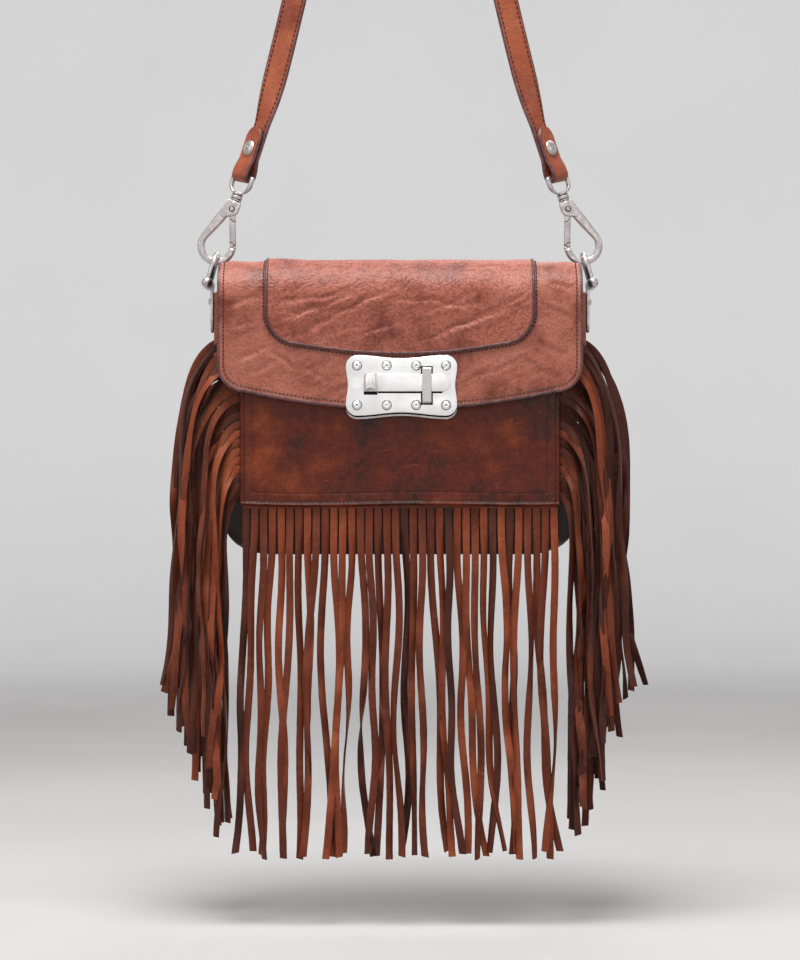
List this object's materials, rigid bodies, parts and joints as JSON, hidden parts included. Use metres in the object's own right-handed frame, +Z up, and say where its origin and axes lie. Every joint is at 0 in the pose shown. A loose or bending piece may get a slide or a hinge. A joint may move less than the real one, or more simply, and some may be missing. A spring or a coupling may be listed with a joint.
{
  "type": "fringed leather shoulder bag",
  "caption": "Flap shoulder bag in leather with a slide-bolt lock, a strap on swivel snap hooks, and cut leather fringes along the front edge and the side seams.",
  "frame": {"origin": "underside of the strap's crown, where the bag hangs", "axes": "+Z up along the hanging bag, -Y out of the front, X across the flap"},
  "size_m": [0.319, 0.0867, 0.7968],
  "materials": {
    "body_leather": "dark waxed calf leather",
    "waxed_leather": "waxed, blotchy, scratched",
    "outer_leather": "smooth, creased, semi-matt",
    "grained_leather": "pebbled grain, semi-matt",
    "fringe_leather": "cut strips, smooth face and suede back",
    "strap_leather": "smooth, edge-painted, stitched",
    "piping_leather": "thin folded edging, worn",
    "antique_nickel": "antiqued nickel, worn bright on edges",
    "satin_nickel": "pale satin nickel",
    "magnet_steel": "plated steel"
  },
  "bodies": {
    "bag": {"back_panel": "body_leather", "front_panel": "body_leather", "gusset": "body_leather", "pocket_panel": "waxed_leather", "front_fringe_bottom": "fringe_leather", "front_fringe_left": "fringe_leather", "front_fringe_right": "fringe_leather", "back_fringe_left": "fringe_leather", "back_fringe_right": "fringe_leather", "magnet_front": "magnet_steel", "side_tab_left": "strap_leather", "side_tab_right": "strap_leather", "ring_plate_left": "antique_nickel", "ring_plate_right": "antique_nickel", "tab_rivet_left": "antique_nickel", "tab_rivet_right": "antique_nickel", "shackle_pin_left": "antique_nickel", "shackle_pin_right": "antique_nickel", "eye_left": "antique_nickel", "eye_right": "antique_nickel", "strap": "strap_leather", "strap_rivet_left": "antique_nickel", "strap_rivet_right": "antique_nickel"},
    "flap": {"flap": "outer_leather", "flap_yoke": "grained_leather", "flap_piping": "piping_leather", "lock_plate": "satin_nickel", "lock_back_plate": "satin_nickel", "lock_rivet_1": "satin_nickel", "lock_rivet_2": "satin_nickel", "lock_rivet_3": "satin_nickel", "lock_rivet_4": "satin_nickel", "lock_rivet_5": "satin_nickel", "lock_rivet_6": "satin_nickel", "lock_rivet_7": "satin_nickel", "lock_rivet_8": "satin_nickel", "lock_keeper": "satin_nickel", "magnet_flap": "magnet_steel"},
    "bolt": {"lock_bolt": "satin_nickel"},
    "hook_left": {"hook_left": "antique_nickel", "hook_pin_left": "antique_nickel"},
    "hook_right": {"hook_right": "antique_nickel", "hook_pin_right": "antique_nickel"},
    "gate_left": {"gate_left": "antique_nickel"},
    "gate_right": {"gate_right": "antique_nickel"},
    "shackle_left": {"shackle_left": "antique_nickel"},
    "shackle_right": {"shackle_right": "antique_nickel"}
  },
  "joints": [
    {"name": "flap_hinge", "type": "hinge", "parent": "bag", "child": "flap", "pos_m": [0, -0.01, -0.4], "axis": [-1, 0, 0], "range_deg": [0, 100]},
    {"name": "bolt_slide", "type": "slide", "parent": "flap", "child": "bolt", "axis": [-1, 0, 0], "range_m": [0, 0.018]},
    {"name": "hook_swivel_left", "type": "hinge", "parent": "bag", "child": "hook_left", "pos_m": [-0.1055, 0, -0.338], "axis": [0.309, 0, 0.9511], "range_deg": [-15, 15]},
    {"name": "hook_swivel_right", "type": "hinge", "parent": "bag", "child": "hook_right", "pos_m": [0.1055, 0, -0.338], "axis": [-0.309, 0, 0.9511], "range_deg": [-15, 15]},
    {"name": "gate_hinge_left", "type": "hinge", "parent": "hook_left", "child": "gate_left", "pos_m": [-0.11348, 0, -0.36096], "axis": [0, 1, 0], "range_deg": [0, 22], "stiffness_Nm_per_rad": 0.02, "springref_deg": -20.05},
    {"name": "gate_hinge_right", "type": "hinge", "parent": "hook_right", "child": "gate_right", "pos_m": [0.11348, 0, -0.36096], "axis": [0, -1, 0], "range_deg": [0, 22], "stiffness_Nm_per_rad": 0.02, "springref_deg": -20.05},
    {"name": "shackle_hinge_left", "type": "hinge", "parent": "bag", "child": "shackle_left", "pos_m": [-0.1295, 0, -0.4115], "axis": [0, -1, 0], "range_deg": [0, 4]},
    {"name": "shackle_hinge_right", "type": "hinge", "parent": "bag", "child": "shackle_right", "pos_m": [0.1295, 0, -0.4115], "axis": [0, 1, 0], "range_deg": [0, 4]}
  ]
}
